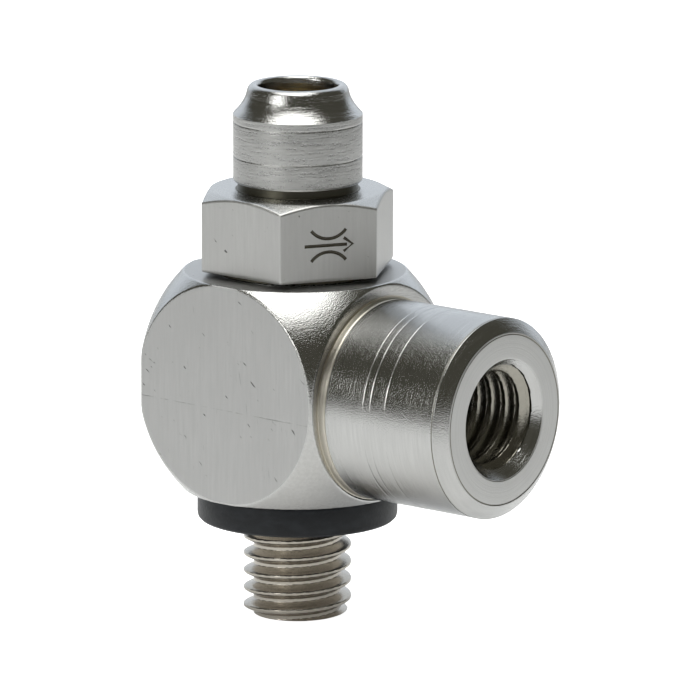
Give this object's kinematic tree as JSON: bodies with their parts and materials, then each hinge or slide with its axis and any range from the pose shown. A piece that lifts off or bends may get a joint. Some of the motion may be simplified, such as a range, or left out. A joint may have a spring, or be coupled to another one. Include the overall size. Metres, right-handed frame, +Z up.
{
  "type": "flow control valve",
  "caption": "Miniature swivelling banjo flow control valve with a threaded hollow stem, hexagon, open collar over a metering needle, and a threaded side port.",
  "frame": {"origin": "centre of the seat plane, the underside of the seal washer, on the stem's axis", "axes": "+Z up the stem from the male thread to the open collar, +X out of the side port"},
  "size_m": [0.017, 0.01, 0.0244],
  "materials": {
    "nickel_plate": "satin nickel plating over turned brass",
    "bare_brass": "machined, unplated",
    "seal_rubber": "smooth moulded nitrile rubber",
    "washer_black": "matte moulded"
  },
  "bodies": {
    "stem": {"hollow_stem": "nickel_plate", "seat_ring": "bare_brass", "upper_o_ring": "seal_rubber", "lower_o_ring": "seal_rubber", "check_lip_seal": "seal_rubber", "seal_washer": "washer_black"},
    "banjo": {"banjo_body": "nickel_plate"},
    "needle_lift": {"needle_o_ring": "seal_rubber"},
    "needle": {"metering_needle": "bare_brass"}
  },
  "joints": [
    {"name": "banjo_swivel", "type": "hinge", "parent": "stem", "child": "banjo", "pos_m": [0, 0, 0.0062], "axis": [0, 0, 1], "continuous": true},
    {"name": "needle_rise", "type": "slide", "parent": "stem", "child": "needle_lift", "axis": [0, 0, 1], "range_m": [0, 0.00175]},
    {"name": "needle_turn", "type": "hinge", "parent": "needle_lift", "child": "needle", "pos_m": [0, 0, 0.0144], "axis": [0, 0, 1], "range_deg": [0, 1800]}
  ],
  "couplings": [
    {"joint": "needle_turn", "follows": "needle_rise", "rad_per_m": 17952}
  ]
}
